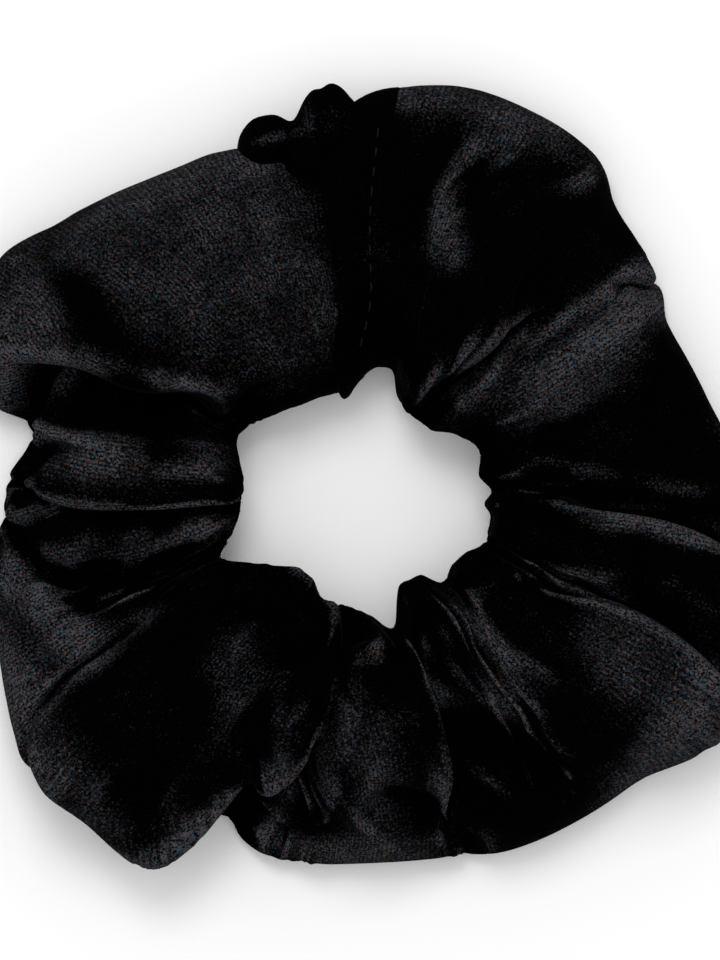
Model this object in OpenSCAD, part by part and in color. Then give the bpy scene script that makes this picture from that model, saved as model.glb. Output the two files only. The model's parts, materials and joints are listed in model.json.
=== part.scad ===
// Gathered velvet scrunchie: a cloth tube bunched on a short elastic loop, lying flat.
// Millimetres, +Z up, origin under the middle of the ring on the surface it lies on.
// The cover is one cloth tube. It is divided here at its deep gathers, into hollow puffs.

/* [Ring] */
// Radius of the hair opening
hole_r = 19.5; // [18.5:0.5:20.5]
// How far the hair opening lies from the middle of the ring, towards -Y
hole_offset = 2.5; // [0:0.5:4]
// Radius of the roll of cloth beside the hair opening
inner_roll_r = 8; // [7.5:0.25:8.5]
// Radius of the roll of cloth at the outer edge, half of the ring's height
outer_roll_r = 13; // [12:0.5:14]
// Thickness that the gathered cloth takes up
wall = 2.2; // [1.8:0.1:2.4]
// Gap between neighbouring puffs, at the hair opening
gather_gap = 0.4; // [0.3:0.1:0.6]

/* [Elastic] */
// Radius of the relaxed elastic loop, at its inner face
elastic_r = 25.7; // [25.2:0.1:26]
// Width of the flat elastic
elastic_w = 7; // [5:0.5:7]
// Thickness of the flat elastic
elastic_t = 1.2; // [0.8:0.1:1.3]
// Length over which its two ends are lapped
lap_len = 12; // [8:1:16]

/* [Seams] */
// Width of the raw edges turned inside along the long seam
allowance_w = 6; // [4:0.5:7]
// Thickness of the two raw edges together
allowance_t = 1.4; // [1:0.1:1.6]
// Length of one machine stitch
stitch_len = 2.2; // [1.8:0.1:2.5]
// Diameter of the sewing thread
thread_d = 0.35; // [0.25:0.05:0.4]
// Angle of the closing seam round the ring
closing_seam_deg = 91; // [90:0.5:93]
// Thickness of the end that is tucked inside the other
tucked_end_t = 0.8; // [0.6:0.1:0.9]

/* [Hidden] */
$fn = 96;

// Deep gathers, clockwise from the one beside the closing seam; a puff lies between two
GATHER_DEG = [86, 64, 38, -6, -27, -49, -72, -90, -112, -145, -175, -202, -235, -274];
// How far each puff reaches from the middle of the hair opening
REACH = [62.5, 62, 57.5, 61, 65, 60.5, 57.5, 57, 65, 61, 57, 63, 56];
// The half that a finger pulls holds the first seven puffs
RIGHT_START = GATHER_DEG[7];
RIGHT_END = GATHER_DEG[0];

// Each roll is sunk this far into the surface and cut off flat, as a resting roll is
flat_sink = 0.3;
// Middle height and extra radius of the sphere that rounds a puff off
crown_z = 6;
crown_extra = 2.5;
// The slope between the two rolls meets them just under their surface
slope_share = 0.995;
// Clearance between cloth layers that lie on each other
layer_gap = 0.3;
gap_deg = gather_gap / hole_r * 180 / PI;

elastic_z = inner_roll_r - elastic_w / 2;
elastic_outer_r = elastic_r + elastic_t;
lap_deg = lap_len / elastic_outer_r * 180 / PI;
lap_mid_deg = 180;
// The lap stands this far inside the single layer
lap_step = 0.2;

// Zigzag stitches of the lap: spacing, lean, and how far they stop from the elastic's edges
zigzag_pitch = 1.5;
zigzag_lean = 12;
zigzag_margin = 1;

// The long seam lies this far outside the middle of the inner roll
seam_beyond_roll = 6;
seam_r = hole_r + inner_roll_r + seam_beyond_roll;
seam_z = wall + layer_gap;
// Gap between two stitches
stitch_gap = 1;
stitch_pitch = stitch_len + stitch_gap;

// The puff beside the closing seam, which the tucked end lies in
CLOSING_PUFF = 12;
// How far the tucked end runs before and after the closing seam, in degrees
tucked_before = 3;
tucked_after = 9;
// A cutting shape runs this many degrees past what it cuts
overcut_deg = 1;
// Width in degrees of the closing thread, and the depths of its two faces inside the cover
closing_thread_deg = 0.6;
closing_thread_top = 0.05;
closing_thread_bottom = 0.25;

// Pleats of the closing tuck: angle, radius and height of its middle, thickness radius, reach
TUCK_PLEATS = [
    [94, 59.4, 9, 3, 6],
    [106, 59, 8, 2.6, 5.4]
];
tuck_half_deg = 8;

// The long seam stops short of the gathers, and of the tucked end on its left side
seam_clear_deg = 1;
seam_clear_tuck_deg = 16;

VELVET = [0.02, 0.02, 0.022];
RAW_EDGE = [0.05, 0.05, 0.055];
ELASTIC = [0.12, 0.12, 0.13];
THREAD = [0.01, 0.01, 0.012];

// Section of the tube between the hair opening and reach, drawn in radius and height
module tube_profile(reach, inset) {
    inner = [hole_r + inner_roll_r, inner_roll_r - flat_sink];
    outer = [reach - outer_roll_r, outer_roll_r - flat_sink];
    slope = 2 * atan2(outer_roll_r - inner_roll_r, outer.x - inner.x);
    up = slope_share * [-sin(slope), cos(slope)];
    intersection() {
        union() {
            translate(inner) circle(r = inner_roll_r - inset);
            translate(outer) circle(r = outer_roll_r - inset);
            polygon([
                [inner.x, inset],
                [outer.x, inset],
                outer + (outer_roll_r - inset) * up,
                inner + (inner_roll_r - inset) * up
            ]);
        }
        translate([0, inset]) square([2 * reach, 4 * outer_roll_r]);
    }
}

// The tube from one angle to another, with no rounding off
module tube_sector(reach, inset, from_deg, to_deg) {
    rotate([0, 0, from_deg])
        rotate_extrude(angle = to_deg - from_deg)
            tube_profile(reach, inset);
}

// The part of puff n between two angles, moved in from its surface by inset
module puff_body(n, inset, from_deg, to_deg) {
    mid_r = (hole_r + REACH[n]) / 2;
    mid_deg = (GATHER_DEG[n] + GATHER_DEG[n + 1]) / 2;
    intersection() {
        tube_sector(REACH[n], inset, from_deg, to_deg);
        rotate([0, 0, mid_deg])
            translate([mid_r, 0, crown_z])
                sphere(r = (REACH[n] - hole_r) / 2 + crown_extra - inset);
    }
}

// One hollow puff of the cover, open at both gathers where the tube runs on
module cover_puff(n) {
    high = GATHER_DEG[n];
    low = GATHER_DEG[n + 1];
    color(VELVET)
        difference() {
            puff_body(n, 0, low + gap_deg / 2, high - gap_deg / 2);
            puff_body(n, wall, low - gap_deg, high + gap_deg);
        }
}

// A flat ring of elastic with its ends lapped, where it is two layers thick
module elastic_band() {
    half_lap = lap_deg / 2;
    color(ELASTIC)
        translate([0, 0, elastic_z])
            rotate([0, 0, lap_mid_deg]) {
                rotate([0, 0, half_lap])
                    rotate_extrude(angle = 360 - lap_deg)
                        translate([elastic_r, 0]) square([elastic_t, elastic_w]);
                rotate([0, 0, -half_lap])
                    rotate_extrude(angle = lap_deg)
                        translate([elastic_r - lap_step, 0])
                            square([2 * elastic_t, elastic_w]);
            }
}

// Zigzag stitches through the lapped ends
module elastic_stitches() {
    count = floor(lap_len / zigzag_pitch);
    bar_r = elastic_outer_r + elastic_t + thread_d - lap_step;
    color(THREAD)
        for (i = [0 : count - 1])
            rotate([0, 0, lap_mid_deg + lap_deg * ((i + 0.5) / count - 0.5)])
                translate([bar_r, 0, elastic_z + elastic_w / 2])
                    rotate([i % 2 == 0 ? zigzag_lean : -zigzag_lean, 0, 0])
                        cube([thread_d, thread_d, elastic_w - 2 * zigzag_margin], center = true);
}

// One rounded pleat that stands out of the ring beside the closing seam
module tuck_pleat(mid_deg, mid_r, mid_z, r, reach) {
    rotate([0, 0, mid_deg])
        intersection() {
            rotate([0, 0, -tuck_half_deg])
                rotate_extrude(angle = 2 * tuck_half_deg)
                    translate([mid_r, mid_z]) circle(r = r);
            translate([mid_r, 0, mid_z]) sphere(r = reach);
        }
}

module closing_tuck() {
    color(VELVET)
        for (pleat = TUCK_PLEATS)
            tuck_pleat(pleat[0], pleat[1], pleat[2], pleat[3], pleat[4]);
}

// The end of the tube that is pushed inside the other end
module tucked_end() {
    inset = wall + layer_gap;
    start = closing_seam_deg - tucked_before;
    end = closing_seam_deg + tucked_after;
    color(RAW_EDGE)
        difference() {
            puff_body(CLOSING_PUFF, inset, start, end);
            puff_body(CLOSING_PUFF, inset + tucked_end_t, start - overcut_deg, end + overcut_deg);
        }
}

// The thread that closes the tube, run round its section between the two layers
module closing_seam_thread() {
    start = closing_seam_deg;
    end = closing_seam_deg + closing_thread_deg;
    color(THREAD)
        difference() {
            puff_body(CLOSING_PUFF, wall + closing_thread_top, start, end);
            puff_body(CLOSING_PUFF, wall + closing_thread_bottom, start - overcut_deg, end + overcut_deg);
        }
}

// The two raw edges of the long seam, turned inside and lying on the floor of the tube
module seam_allowance(from_deg, to_deg) {
    color(RAW_EDGE)
        rotate([0, 0, from_deg])
            rotate_extrude(angle = to_deg - from_deg)
                translate([seam_r - allowance_w / 2, seam_z])
                    square([allowance_w, allowance_t]);
}

// The row of machine stitches that holds the long seam
module long_seam_thread(from_deg, to_deg) {
    arc_len = (to_deg - from_deg) * PI / 180 * seam_r;
    count = floor(arc_len / stitch_pitch);
    color(THREAD)
        for (i = [0 : count - 1])
            rotate([0, 0, from_deg + (to_deg - from_deg) * (i + 0.5) / count])
                translate([seam_r, 0, seam_z + allowance_t + thread_d])
                    cube([thread_d, stitch_len, thread_d], center = true);
}

// Puts a piece round the hair opening, which is off the ring's middle
module placed() {
    translate([0, -hole_offset, 0]) children();
}

seam_left_start = RIGHT_END + seam_clear_tuck_deg;
seam_left_end = RIGHT_START + 360 - seam_clear_deg;
seam_right_start = RIGHT_START + seam_clear_deg;
seam_right_end = RIGHT_END - seam_clear_deg;

placed() elastic_band();
placed() elastic_stitches();
placed() cover_puff(0);  // cover_puff_01
placed() cover_puff(1);  // cover_puff_02
placed() cover_puff(2);  // cover_puff_03
placed() cover_puff(3);  // cover_puff_04
placed() cover_puff(4);  // cover_puff_05
placed() cover_puff(5);  // cover_puff_06
placed() cover_puff(6);  // cover_puff_07
placed() cover_puff(7);  // cover_puff_08
placed() cover_puff(8);  // cover_puff_09
placed() cover_puff(9);  // cover_puff_10
placed() cover_puff(10);  // cover_puff_11
placed() cover_puff(11);  // cover_puff_12
placed() cover_puff(12);  // cover_puff_13
placed() closing_tuck();
placed() tucked_end();
placed() closing_seam_thread();
placed() seam_allowance(seam_left_start, seam_left_end);  // seam_allowance_left
placed() seam_allowance(seam_right_start, seam_right_end);  // seam_allowance_right
placed() long_seam_thread(seam_left_start, seam_left_end);  // long_seam_thread_left
placed() long_seam_thread(seam_right_start, seam_right_end);  // long_seam_thread_right
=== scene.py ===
"""Velvet scrunchie lying flat, seen from above."""
import json
import math

import bmesh
import bpy
import numpy as np
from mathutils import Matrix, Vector


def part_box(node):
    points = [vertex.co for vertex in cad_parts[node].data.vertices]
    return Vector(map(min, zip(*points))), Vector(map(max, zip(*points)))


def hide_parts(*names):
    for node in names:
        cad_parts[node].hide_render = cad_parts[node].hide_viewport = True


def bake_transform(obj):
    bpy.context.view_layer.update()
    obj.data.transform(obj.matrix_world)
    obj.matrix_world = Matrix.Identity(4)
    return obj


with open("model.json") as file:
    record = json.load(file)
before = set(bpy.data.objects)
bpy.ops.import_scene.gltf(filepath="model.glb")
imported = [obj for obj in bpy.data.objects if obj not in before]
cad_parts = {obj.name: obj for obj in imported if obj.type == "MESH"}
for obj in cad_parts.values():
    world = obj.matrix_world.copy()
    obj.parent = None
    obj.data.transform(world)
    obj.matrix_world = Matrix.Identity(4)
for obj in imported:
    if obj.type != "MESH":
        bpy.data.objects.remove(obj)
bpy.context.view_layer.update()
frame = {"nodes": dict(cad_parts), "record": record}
scene = bpy.context.scene

MM = 0.001
DEG = math.pi / 180
rng = np.random.default_rng(12)

# ---------------------------------------------------------------- places, in millimetres
OPENING = next(o for o in frame["record"]["physics"]["openings"] if o["name"] == "hair_opening")
HOLE = np.mean(np.array(OPENING["box_m"])[:, :2], axis=0) / MM
ELASTIC_LOW, ELASTIC_HIGH = (np.array(corner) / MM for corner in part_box("elastic_band"))

# ---------------------------------------------------------------- the cut cloth
STRIP_W, STRIP_L = 108.0, 400.0
COLUMNS, ROWS = 240, 44
FINE_COLUMNS, FINE_ROWS = 720, 120
SEAM_PHI = 257 * DEG

# How far the cover reaches from the middle of the hair opening: (angle, millimetres)
RIM = [
    (0, 57.5), (8, 56.5), (17, 54), (29, 53.3), (35, 55.8), (45, 58), (49, 59), (52, 61.5), (56, 63.2),
    (64, 64), (73, 64.3), (84, 62.4), (88, 61), (91, 58.5), (94, 54.5), (98, 52.3), (103, 53),
    (110, 56), (120, 57.2), (138, 61.9), (147, 65.7), (154, 65.2), (164, 59.5), (168, 56), (171, 50.5),
    (175, 53), (186, 55.3), (196, 58), (206, 61), (216, 64.5), (221, 66.5), (230, 65.2), (238, 66),
    (242, 65), (244.5, 60), (247.5, 51.8), (250, 54.8), (253, 56.5), (258, 57), (273, 56.3), (284, 57),
    (293, 59), (304, 60), (314, 61), (323, 65), (328, 66.5), (339, 63), (347, 60.3), (355, 58.7),
]
# The edge of the hair opening: (angle, millimetres)
EDGE = [
    (1, 20), (9, 18.3), (20, 19.3), (32, 17.2), (43, 14.5), (58, 14.3), (70, 16.2), (76, 19.8),
    (82, 19.6), (90, 17.6), (101, 15.8), (120, 16.2), (137, 17.8), (155, 20.5), (164, 19), (175, 17.7),
    (187, 18.4), (198, 20.5), (204, 23.2), (211, 20), (220, 16.9), (231, 14.5), (240, 14.6), (250, 16.7),
    (262, 17), (275, 18.5), (284, 21), (289, 17), (294, 14.9), (307, 15.2), (313, 18.4), (322, 17.7),
    (331, 18.3), (339, 20.3), (350, 20.3), (356, 19),
]
# Height of the crown: (angle, millimetres)
CROWN = [(0, 23), (45, 20), (60, 24), (85, 22), (110, 25), (140, 26), (160, 20), (180, 20), (205, 22),
         (230, 25), (255, 19), (275, 24), (305, 22), (325, 25)]

# Folds that run round the tube. path is its angle at the hair opening, on top, and at the rim, and
# strength is how strong it is in the same places. width, lap, lift and dip are in millimetres;
# lap > 0 lays the lower angle over the higher one
FOLDS = [
    dict(name="crease", path=(67, 49, 38.5), strength=(0.6, 1, 0.2),
         width=4.5, lap=-4.5, lift=3.4, dip=3.8),
    dict(name="upper_right", path=(64, 74, 60), strength=(0.1, 1, 0),
         width=5.0, lap=-0.8, lift=1.8, dip=1.8),
    dict(name="right_band", path=(12, 14, 7), strength=(0.6, 1, 0.2),
         width=7, lap=0, lift=0, dip=2.2),
    dict(name="right_streak", path=(6, -4, -8), strength=(0.3, 1, 0.6),
         width=3.6, lap=1.2, lift=1.3, dip=1.2),
    dict(name="right_ridge", path=(338, 336, 330.5), strength=(0.25, 1, 0.4),
         width=4.5, lap=3.2, lift=2.8, dip=3),
    dict(name="pleat_a", path=(317, 308, 303), strength=(0.6, 0.7, 0),
         width=2.6, lap=1.6, lift=1.5, dip=1.2),
    dict(name="pleat_b", path=(311, 302, 298), strength=(0.5, 0.5, 0),
         width=2.4, lap=1.2, lift=1.2, dip=1.0),
    dict(name="bottom_ridge", path=(290, 287, 285), strength=(0.2, 1, 0.1),
         width=3.6, lap=3, lift=2.2, dip=3.5),
    dict(name="flap", path=(246, 261, 240.5), strength=(0.6, 1, 0.6),
         width=5.0, lap=6.5, lift=4.5, dip=5.0),
    dict(name="diagonal", path=(210, 215, 221), strength=(0.6, 1, 0.5),
         width=5.5, lap=1.0, lift=1.0, dip=6.0),
    dict(name="left_v", path=(210, 207, 189), strength=(0.3, 0.9, 0.5),
         width=3.6, lap=-1.6, lift=2.0, dip=1.6),
    dict(name="left_low", path=(204, 200, 199), strength=(0.8, 0.6, 0),
         width=2.4, lap=-1.4, lift=1.4, dip=1.5),
    dict(name="left_ridge", path=(188, 183, 179), strength=(0.6, 1, 0.3),
         width=3.6, lap=3.2, lift=2.8, dip=4),
    dict(name="under_puff", path=(140, 153, 167), strength=(0.6, 1, 0.3),
         width=5.0, lap=5.0, lift=4.0, dip=6.5),
    dict(name="puff_dent", path=(157, 149, 141), strength=(0.2, 1, 0.3),
         width=4.6, lap=0, lift=0, dip=2.8),
    dict(name="closing", path=(79, 80, 90), strength=(0.6, 0.7, 0.3),
         width=4.0, lap=0, lift=0, dip=1.0),
]
# How strong every fold is on the underside
UNDER_STRENGTH = 0.25
# Folds are spaced and held as at this ring radius
FOLD_RADIUS = 38
# Small gathers beside the elastic: how many, and the range of each one's depth and width in
# millimetres, its lean in degrees and its share of the way up the section
GATHERS = 30
GATHER_DEPTH = (0.9, 2.0)
GATHER_WIDTH = (1.1, 1.9)
GATHER_LEAN = (-7, 7)
GATHER_SPAN = (0.15, 0.75)
# How deep they are round the hair opening: (angle, share)
GATHERED = [(0, 1.1), (60, 0.9), (84, 0.6), (95, 0.25), (125, 0.3), (150, 0.7), (165, 0.5), (195, 0.9),
            (250, 1), (300, 1.1)]
# How much cloth is bunched in each part of the ring: (angle, share)
BUNCHED = [(0, 1.1), (60, 1.1), (75, 1), (95, 0.75), (145, 0.75), (165, 1), (200, 1.1), (300, 1.15)]


def round_curve(points):
    """A smooth closed curve of value over angle in degrees, through the points."""
    deg = np.array([p[0] for p in points], float)
    val = np.array([p[1] for p in points], float)
    x = np.concatenate([deg[-2:] - 360, deg, deg[:3] + 360])
    y = np.concatenate([val[-2:], val, val[:3]])
    secant = np.diff(y) / np.diff(x)
    slope = np.zeros_like(y)
    same = secant[:-1] * secant[1:] > 0
    slope[1:-1] = np.where(same, 2 * secant[:-1] * secant[1:] / (secant[:-1] + secant[1:] + 1e-12), 0)

    def value(at):
        at = np.mod(at, 360)
        i = np.clip(np.searchsorted(x, at, side="right") - 1, 0, len(x) - 2)
        h = x[i + 1] - x[i]
        t = (at - x[i]) / h
        return ((2 * t**3 - 3 * t**2 + 1) * y[i] + (t**3 - 2 * t**2 + t) * h * slope[i]
                + (3 * t**2 - 2 * t**3) * y[i + 1] + (t**3 - t**2) * h * slope[i + 1])

    return value


rim, edge, crown = round_curve(RIM), round_curve(EDGE), round_curve(CROWN)
gathered, bunched = round_curve(GATHERED), round_curve(BUNCHED)


def arc(a, b):
    """Signed angle from b to a in degrees, the short way round."""
    return (a - b + 180) % 360 - 180


def smooth(x, low, high):
    """0 below low, 1 above high, and an S-curve between."""
    t = np.clip((x - low) / (high - low), 0, 1)
    return t * t * (3 - 2 * t)


def along_section(phi, hole, top, rim_value, under):
    """Blend four values round the section: hair opening, top, rim and underside."""
    s, c = np.sin(phi), np.cos(phi)
    w_top, w_under = np.clip(s, 0, 1) ** 2, np.clip(-s, 0, 1) ** 2
    w_rim, w_hole = np.clip(c, 0, 1) ** 2, np.clip(-c, 0, 1) ** 2
    return w_top * top + w_under * under + w_rim * rim_value + w_hole * hole


def bell(t):
    """1 at 0, falling away on both sides."""
    return np.exp(-t * t)


def lip(t):
    """1 at the lip on one side, -1 at the valley on the other."""
    return -t * math.sqrt(2) * np.exp(0.5 - t * t)


# Shape of the section: how high its widest place is, how far the top leans out, how square it is
WAIST = 0.42
LEAN_OUT = 0.12
SIDE_POWER, TOP_POWER, UNDER_POWER = 0.92, 0.95, 0.55


def section(angle, phi):
    """A smooth point of the cover, its radius and height, at a ring angle and a section angle."""
    r_in, r_out, top = edge(angle), rim(angle), crown(angle)
    half = (r_out - r_in) / 2
    mid = (r_out + r_in) / 2
    s, c = np.sin(phi), np.cos(phi)
    waist = WAIST * top
    radius = mid + half * np.sign(c) * np.abs(c) ** SIDE_POWER + LEAN_OUT * half * np.clip(s, 0, 1) ** 2
    up = (top - waist) * np.abs(s) ** TOP_POWER
    down = waist * (1 - np.abs(s) ** UNDER_POWER)
    height = np.where(s > 0, waist + up, down)
    return radius, height


# How many more columns a lapped fold gets, and how far from its middle
LAP_COLUMNS = 0.9
LAP_REACH = 1.3


def column_angles():
    """Ring angle of each column, with more columns where a fold takes up cloth."""
    fine = np.linspace(0, 360, 7201)
    density = np.ones_like(fine)
    for f in FOLDS:
        reach = f["width"] / FOLD_RADIUS / DEG
        near = bell(arc(fine, f["path"][1]) / (LAP_REACH * reach))
        density += LAP_COLUMNS * abs(f["lap"]) / f["width"] * near
    total = np.concatenate([[0], np.cumsum((density[1:] + density[:-1]) / 2)])
    return np.interp(np.arange(COLUMNS) / COLUMNS * total[-1], total, fine)


def section_angles(rows):
    """Section angle of each row of a tube."""
    return SEAM_PHI - np.arange(rows) / rows * 2 * math.pi


SECTION_PHI = section_angles(ROWS)
# Nearer the middle than this, a fold or a gather no longer narrows with the radius
FOLD_INNER, GATHER_INNER, ALONG_INNER = 26, 15, 14
# The dip of a fold is this much wider than its lip
DIP_SPREAD = 1.5
# The cloth starts at least this far above the floor
LEAST_HEIGHT = 0.4


def ring_points(radius, angle, height):
    """Points from their radius, ring angle in radians and height."""
    return np.stack([HOLE[0] + radius * np.cos(angle), HOLE[1] + radius * np.sin(angle), height], -1)


def fold_path(fold, phi):
    """Ring angle of a fold at each section angle."""
    hole, top, at_rim = fold["path"]
    return along_section(phi, hole, top, at_rim, (hole + at_rim) / 2)


def folded_shape():
    """The tube bunched on the elastic, with its main folds laid as listed: columns by rows."""
    a, p = np.broadcast_arrays(column_angles()[:, None], SECTION_PHI[None, :])
    c = np.cos(p)
    radius, height = section(a, p)
    r2, h2 = section(a, p + 0.01)
    r1, h1 = section(a, p - 0.01)
    tr, tz = r2 - r1, h2 - h1
    norm = np.hypot(tr, tz) + 1e-9
    nr, nz = tz / norm, -tr / norm
    along = np.zeros_like(radius)
    out = np.zeros_like(radius)
    for f in FOLDS:
        t = arc(a, fold_path(f, p)) * DEG * np.maximum(radius, FOLD_INNER) / f["width"]
        strength = along_section(p, *f["strength"], UNDER_STRENGTH)
        side = 1 if f["lap"] >= 0 else -1
        along += strength * f["lap"] * lip(side * t)
        out += strength * (f["lift"] * lip(side * t) - f["dip"] * bell(t / DIP_SPREAD))
    for place in (np.arange(GATHERS) + rng.uniform(-0.35, 0.35, GATHERS)) * 360 / GATHERS:
        depth = rng.uniform(*GATHER_DEPTH) * gathered(place)
        lean = rng.uniform(*GATHER_LEAN)
        span = rng.uniform(*GATHER_SPAN)
        width = rng.uniform(*GATHER_WIDTH)
        fade = smooth(-c, 1 - 1.6 * span, 1.0)
        t = arc(a, place + lean * (1 + c)) * DEG * np.maximum(radius, GATHER_INNER) / width
        out -= depth * fade * np.exp(-np.abs(t) ** 1.5)
    r = radius + out * nr
    z = np.maximum(height + out * nz, LEAST_HEIGHT)
    ang = a * DEG + along / np.maximum(radius, ALONG_INNER)
    return ring_points(r, ang, z)


def relaxed_shape(grow):
    """The size the cloth wants to be: the smooth tube, moved out from the hair opening."""
    a, p = np.broadcast_arrays(column_angles()[:, None], SECTION_PHI[None, :])
    share = bunched(column_angles())
    even = np.broadcast_to((np.cumsum(share) / share.sum() * 2 * math.pi)[:, None], a.shape)
    radius, height = section(a, p)
    radius = radius + grow
    return np.stack([radius * np.cos(even), radius * np.sin(even), height], -1)


def ring_quads(columns, rows, closed_rows):
    """Faces of a grid whose columns go all the way round."""
    i = np.arange(columns)[:, None]
    j = np.arange(rows if closed_rows else rows - 1)[None, :]
    nxt, up = (i + 1) % columns, (j + 1) % rows
    return np.stack([i * rows + j, i * rows + up, nxt * rows + up, nxt * rows + j], -1).reshape(-1, 4)


def new_mesh(name, points, faces):
    """A smooth-shaded object from arrays or lists of points and faces."""
    mesh = bpy.data.meshes.new(name)
    faces = [[int(i) for i in face] for face in faces]
    mesh.from_pydata(np.asarray(points).reshape(-1, 3).tolist(), [], faces)
    mesh.update()
    mesh.polygons.foreach_set("use_smooth", [True] * len(mesh.polygons))
    ob = bpy.data.objects.new(name, mesh)
    scene.collection.objects.link(ob)
    return ob


# Blender's cloth is steadier on large pieces, so it is run this many times larger
SIM_SCALE = 20.0
# grow is in millimetres, thickness in metres at that scale, and the holds are pin strengths
SIM = dict(frames=16, quality=5, grow=20.0, stiffness=15.0, shear=5.0, bend=10.0, pressure=1.0,
           damping=5.0, hold=0.03, hold_fold=0.1, hold_hole=0.5, mass=0.3, thickness=0.012,
           gravity=0.5)
# The floor under it, in metres at that scale
GROUND_HALF = 3.2
GROUND_GAP = 0.01
FOLD_HOLD_SPREAD = 1.6
HOLE_HOLD_SPREAD = 0.35


def away_from_opening(phi):
    """Section angle measured from the side next to the hair opening, in radians."""
    return phi % (2 * math.pi) - math.pi


def square(name, half):
    """A flat square at floor level."""
    corners = [(-half, -half, 0), (half, -half, 0), (half, half, 0), (-half, half, 0)]
    return new_mesh(name, corners, [(0, 1, 2, 3)])


def hold_weights():
    """How firmly each point of the cloth is held to the laid shape: most beside the elastic."""
    a, p = np.broadcast_arrays(column_angles()[:, None], SECTION_PHI[None, :])
    near = np.zeros_like(p)
    for f in FOLDS:
        if not f["lap"]:
            continue
        t = arc(a, fold_path(f, p)) * DEG * FOLD_RADIUS / f["width"]
        near = np.maximum(near, bell(t / FOLD_HOLD_SPREAD) * np.clip(np.sin(p), 0, 1))
    hold = SIM["hold"] + SIM["hold_fold"] * near
    beside = bell(away_from_opening(p) / HOLE_HOLD_SPREAD)
    return np.round(np.maximum(hold, SIM["hold_hole"] * beside), 2)


def drape(start):
    """Cloth simulation: the cloth is larger than the ring, so it puffs and gathers on the elastic."""
    k = MM * SIM_SCALE
    ob = new_mesh("drape", start * k, ring_quads(COLUMNS, ROWS, True))
    ob.shape_key_add(name="Basis")
    rest = ob.shape_key_add(name="relaxed")
    rest.data.foreach_set("co", (relaxed_shape(SIM["grow"]) * k).ravel())
    rest.value = 0
    hold = hold_weights().ravel()
    group = ob.vertex_groups.new(name="hold")
    for level in np.unique(hold):
        group.add(np.nonzero(hold == level)[0].tolist(), float(level), "REPLACE")
    mod = ob.modifiers.new("cloth", "CLOTH")
    cloth = mod.settings
    cloth.quality = SIM["quality"]
    cloth.mass = SIM["mass"]
    cloth.tension_stiffness = cloth.compression_stiffness = SIM["stiffness"]
    cloth.shear_stiffness = SIM["shear"]
    cloth.bending_stiffness = SIM["bend"]
    cloth.tension_damping = cloth.compression_damping = cloth.shear_damping = SIM["damping"]
    cloth.vertex_group_mass = "hold"
    cloth.rest_shape_key = rest
    cloth.use_pressure = True
    cloth.uniform_pressure_force = SIM["pressure"]
    cloth.effector_weights.gravity = SIM["gravity"]
    touch = mod.collision_settings
    touch.use_self_collision = True
    touch.self_distance_min = SIM["thickness"]
    touch.distance_min = GROUND_GAP
    touch.collision_quality = 3
    ground = square("ground", GROUND_HALF)
    ground.modifiers.new("collision", "COLLISION")
    scene.frame_start, scene.frame_end = 1, SIM["frames"]
    mod.point_cache.frame_end = SIM["frames"]
    for step in range(1, SIM["frames"] + 1):
        scene.frame_set(step)
    graph = bpy.context.evaluated_depsgraph_get()
    done = ob.evaluated_get(graph).to_mesh()
    co = np.empty(COLUMNS * ROWS * 3)
    done.vertices.foreach_get("co", co)
    scene.frame_set(1)
    for piece in (ob, ground):
        bpy.data.objects.remove(piece, do_unlink=True)
    return co.reshape(COLUMNS, ROWS, 3) / k


def refine(co, count, axis):
    """A smooth closed curve through each line of points, with count points."""
    points = co.shape[axis]
    at = np.arange(count) * points / count
    i = np.floor(at).astype(int)
    t = at - i
    weights = ((1 - t) ** 3 / 6, (3 * t**3 - 6 * t**2 + 4) / 6,
               (-3 * t**3 + 3 * t**2 + 3 * t + 1) / 6, t**3 / 6)
    shape = [1, 1, 1]
    shape[axis] = count
    return sum(w.reshape(shape) * np.take(co, (i + k - 1) % points, axis)
               for k, w in enumerate(weights))


def blur(values, spread, axis):
    """Gaussian smoothing of a grid along one axis, taken as a ring."""
    k = np.arange(-3 * spread, 3 * spread + 1)
    w = np.exp(-0.5 * (k / spread) ** 2)
    w /= w.sum()
    return sum(wi * np.roll(values, ki, axis) for wi, ki in zip(w, k))


# Share of the way from the opening to the rim over which each correction fades
OPENING_FADE, RIM_FADE = (0, 0.6), (0.4, 1)


def fit_outline(co, bin_deg, blur_bins, limit):
    """Ease the draped tube back to the intended rim and opening, by no more than the limit."""
    x, y = co[..., 0] - HOLE[0], co[..., 1] - HOLE[1]
    r, deg = np.hypot(x, y), np.degrees(np.arctan2(y, x)) % 360
    count = round(360 / bin_deg)
    bins = (deg / bin_deg).astype(int) % count
    r_out, r_in = np.zeros(count), np.full(count, 99.0)
    np.maximum.at(r_out, bins, r)
    np.minimum.at(r_in, bins, r)
    at = (np.arange(count) + 0.5) * bin_deg
    d_out = blur(np.clip(rim(at) - r_out, -limit, limit), blur_bins, 0)
    d_in = blur(np.clip(edge(at) - r_in, -limit, limit), blur_bins, 0)
    r_out, r_in = blur(r_out, blur_bins, 0), blur(r_in, blur_bins, 0)
    around = np.concatenate([at - 360, at, at + 360])

    def look(table):
        return np.interp(deg, around, np.tile(table, 3))

    t = np.clip((r - look(r_in)) / (look(r_out) - look(r_in)), 0, 1)
    new_r = r + look(d_in) * (1 - smooth(t, *OPENING_FADE)) + look(d_out) * smooth(t, *RIM_FADE)
    scale = new_r / np.maximum(r, 1)
    return np.stack([HOLE[0] + x * scale, HOLE[1] + y * scale, co[..., 2]], -1)


CALM_SPREAD = 0.8


def calm_opening(co, spread):
    """Round off the smallest gathers beside the elastic, where the real cloth is too thick for them."""
    share = bell(away_from_opening(section_angles(co.shape[1])) / CALM_SPREAD)[None, :, None]
    return co * (1 - share) + blur(co, spread, 0) * share


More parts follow.
